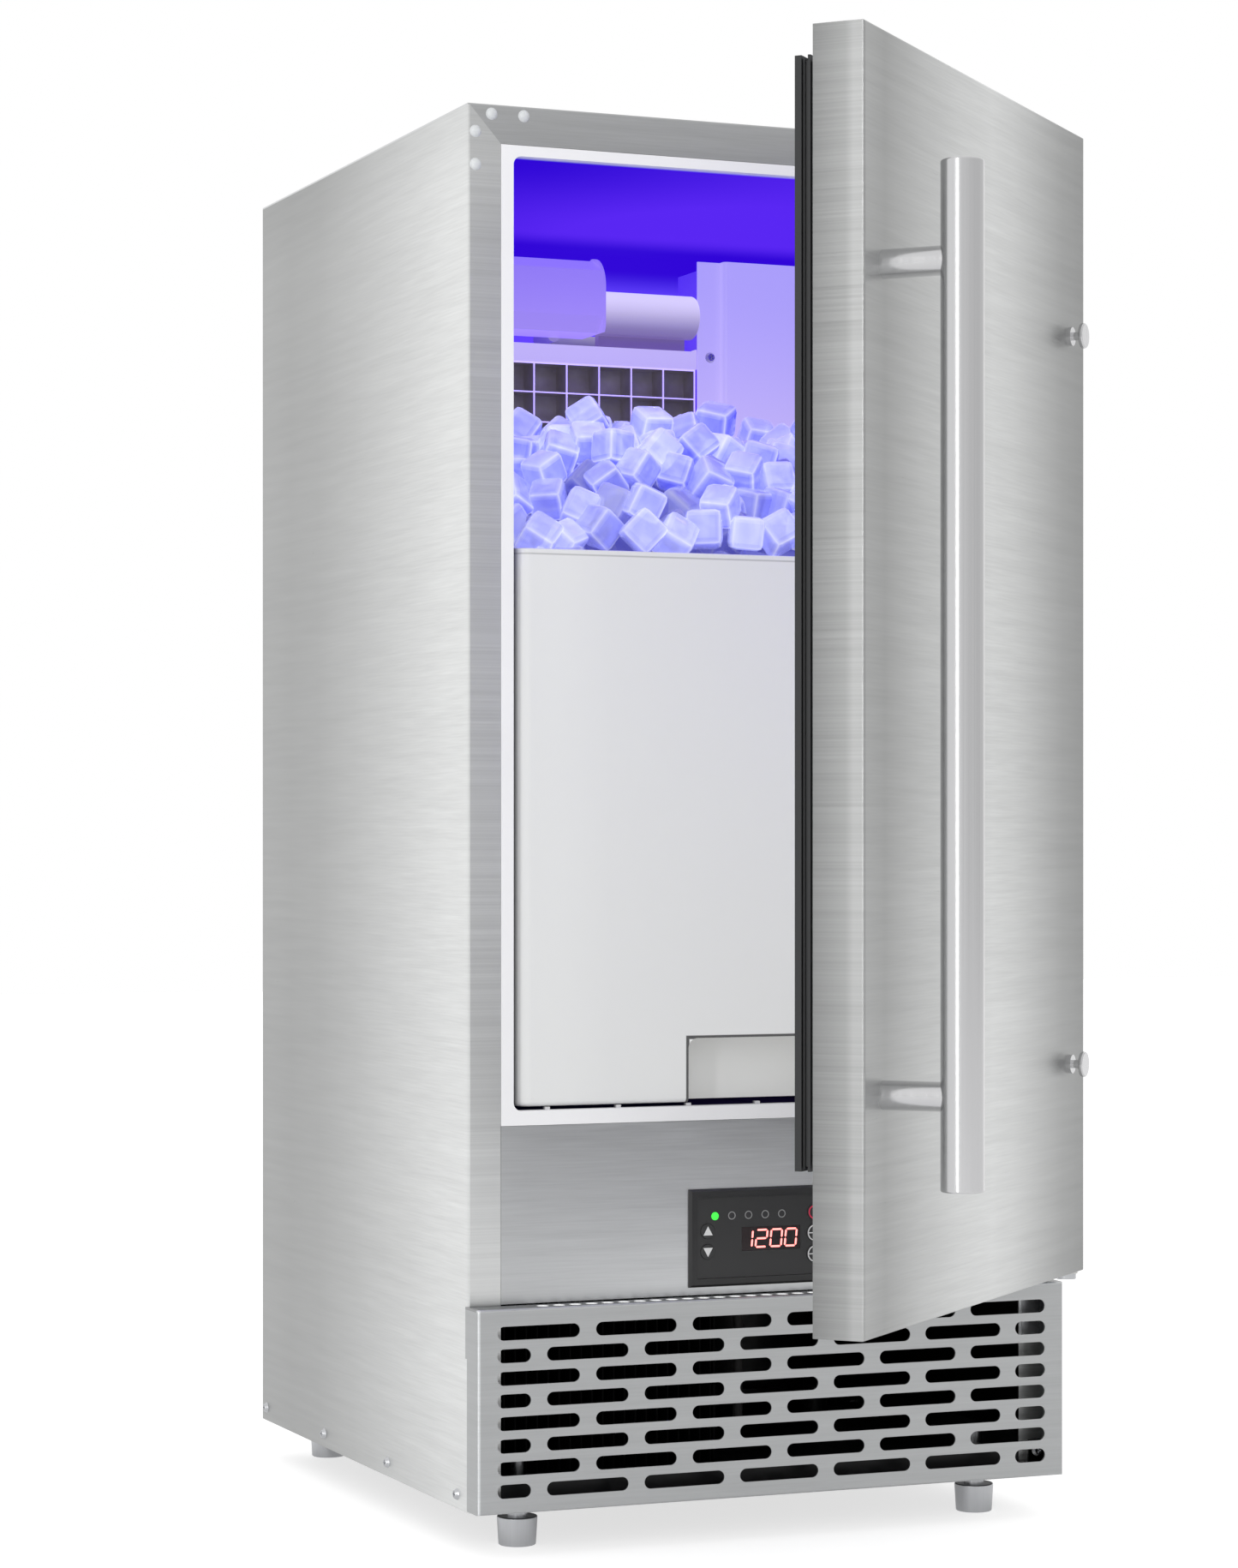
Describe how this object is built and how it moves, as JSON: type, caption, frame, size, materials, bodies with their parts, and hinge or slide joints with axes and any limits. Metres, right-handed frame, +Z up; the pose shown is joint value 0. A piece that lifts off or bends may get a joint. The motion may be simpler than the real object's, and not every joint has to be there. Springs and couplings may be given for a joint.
{
  "type": "ice maker",
  "caption": "Under-counter ice maker: stainless cabinet, hinged door with bar handle open over a lit cavity and ice bin, control panel, kick grille.",
  "frame": {"origin": "centre of the cabinet's footprint, on the floor that the levelling feet stand on", "axes": "+Z up; -Y out of the front, where the door is; +X to the right as seen from the front, the hinge side"},
  "size_m": [0.3858, 0.7405, 0.84],
  "materials": {
    "brushed_stainless": "satin",
    "galvanised_steel": "satin",
    "hinge_steel": "satin",
    "foot_metal": "satin",
    "screw_steel": "polished",
    "white_liner": "gloss",
    "bin_plastic": "satin",
    "grey_plastic": "satin",
    "black_plastic": "satin",
    "key_plastic": "satin",
    "display_lens": "gloss",
    "led_lens": "gloss",
    "lamp_lens": "satin",
    "circuit_board": "satin",
    "black_rubber": "matte",
    "foam": "matte",
    "tinned_plate": "satin",
    "copper": "satin",
    "fin_metal": "satin",
    "motor_paint": "satin",
    "bushing_plastic": "satin",
    "hose": "satin",
    "valve_plastic": "satin"
  },
  "bodies": {
    "cabinet": {"base_pan": "galvanised_steel", "bin_probe": "grey_plastic", "body_screws": "screw_steel", "compressor": "motor_paint", "compressor_grommets": "black_rubber", "condenser": "fin_metal", "control_bezel": "black_plastic", "control_board": "circuit_board", "control_face": "black_plastic", "cord_gland": "black_plastic", "display_window": "display_lens", "divider_plate": "galvanised_steel", "drain_outlet": "hose", "evaporator_cover": "white_liner", "evaporator_frame": "white_liner", "evaporator_plate": "tinned_plate", "fan_motor": "motor_paint", "fan_shroud": "galvanised_steel", "foam_insulation": "foam", "hinge_hole_plugs": "grey_plastic", "ice_bin": "bin_plastic", "ice_slide": "white_liner", "indicator_leds": "led_lens", "inner_liner": "white_liner", "kick_grille": "brushed_stainless", "led_lamp": "lamp_lens", "left_side_panel": "brushed_stainless", "lower_front_panel": "brushed_stainless", "lower_hinge": "hinge_steel", "pump_housing": "black_plastic", "rear_panel": "galvanised_steel", "refrigerant_pipes": "copper", "right_side_panel": "brushed_stainless", "top_panel": "brushed_stainless", "upper_hinge": "hinge_steel", "water_distributor": "white_liner", "water_feed_box": "white_liner", "water_inlet_valve": "valve_plastic", "water_tank": "grey_plastic", "water_tubes": "hose"},
    "door": {"door_outer_skin": "brushed_stainless", "door_inner_liner": "white_liner", "door_foam": "foam", "door_gasket": "black_rubber", "handle_bar": "brushed_stainless", "handle_posts": "brushed_stainless", "handle_studs": "brushed_stainless", "hinge_bushings": "bushing_plastic"},
    "up_key": {"up_key": "key_plastic"},
    "down_key": {"down_key": "key_plastic"},
    "power_key": {"power_key": "key_plastic"},
    "timer_key": {"timer_key": "key_plastic"},
    "clean_key": {"clean_key": "key_plastic"},
    "foot_front_left": {"foot_front_left": "foot_metal"},
    "foot_front_right": {"foot_front_right": "foot_metal"},
    "foot_rear_left": {"foot_rear_left": "foot_metal"},
    "foot_rear_right": {"foot_rear_right": "foot_metal"},
    "fan": {"fan_blade": "black_plastic"},
    "impeller": {"pump_impeller": "bushing_plastic"},
    "float": {"tank_float": "grey_plastic"}
  },
  "joints": [
    {"name": "door_hinge", "type": "hinge", "parent": "cabinet", "child": "door", "pos_m": [0.183, -0.2358, 0.5], "axis": [0, 0, 1], "range_deg": [-42.8, 57.2]},
    {"name": "up_key_press", "type": "slide", "parent": "cabinet", "child": "up_key", "axis": [0, 1, 0], "range_m": [0, 0.0008], "stiffness_N_per_m": 900, "springref_m": -0.0006},
    {"name": "down_key_press", "type": "slide", "parent": "cabinet", "child": "down_key", "axis": [0, 1, 0], "range_m": [0, 0.0008], "stiffness_N_per_m": 900, "springref_m": -0.0006},
    {"name": "power_key_press", "type": "slide", "parent": "cabinet", "child": "power_key", "axis": [0, 1, 0], "range_m": [0, 0.0008], "stiffness_N_per_m": 900, "springref_m": -0.0006},
    {"name": "timer_key_press", "type": "slide", "parent": "cabinet", "child": "timer_key", "axis": [0, 1, 0], "range_m": [0, 0.0008], "stiffness_N_per_m": 900, "springref_m": -0.0006},
    {"name": "clean_key_press", "type": "slide", "parent": "cabinet", "child": "clean_key", "axis": [0, 1, 0], "range_m": [0, 0.0008], "stiffness_N_per_m": 900, "springref_m": -0.0006},
    {"name": "foot_front_left_screw", "type": "slide", "parent": "cabinet", "child": "foot_front_left", "axis": [0, 0, -1], "range_m": [0, 0.015]},
    {"name": "foot_front_right_screw", "type": "slide", "parent": "cabinet", "child": "foot_front_right", "axis": [0, 0, -1], "range_m": [0, 0.015]},
    {"name": "foot_rear_left_screw", "type": "slide", "parent": "cabinet", "child": "foot_rear_left", "axis": [0, 0, -1], "range_m": [0, 0.015]},
    {"name": "foot_rear_right_screw", "type": "slide", "parent": "cabinet", "child": "foot_rear_right", "axis": [0, 0, -1], "range_m": [0, 0.015]},
    {"name": "fan_spin", "type": "hinge", "parent": "cabinet", "child": "fan", "pos_m": [-0.0928, -0.1, 0.1125], "axis": [0, 1, 0], "continuous": true},
    {"name": "impeller_spin", "type": "hinge", "parent": "cabinet", "child": "impeller", "pos_m": [0.116, 0.0805, 0.5], "axis": [0, 0, 1], "continuous": true},
    {"name": "float_lift", "type": "slide", "parent": "cabinet", "child": "float", "axis": [0, 0, 1], "range_m": [0, 0.022]}
  ]
}
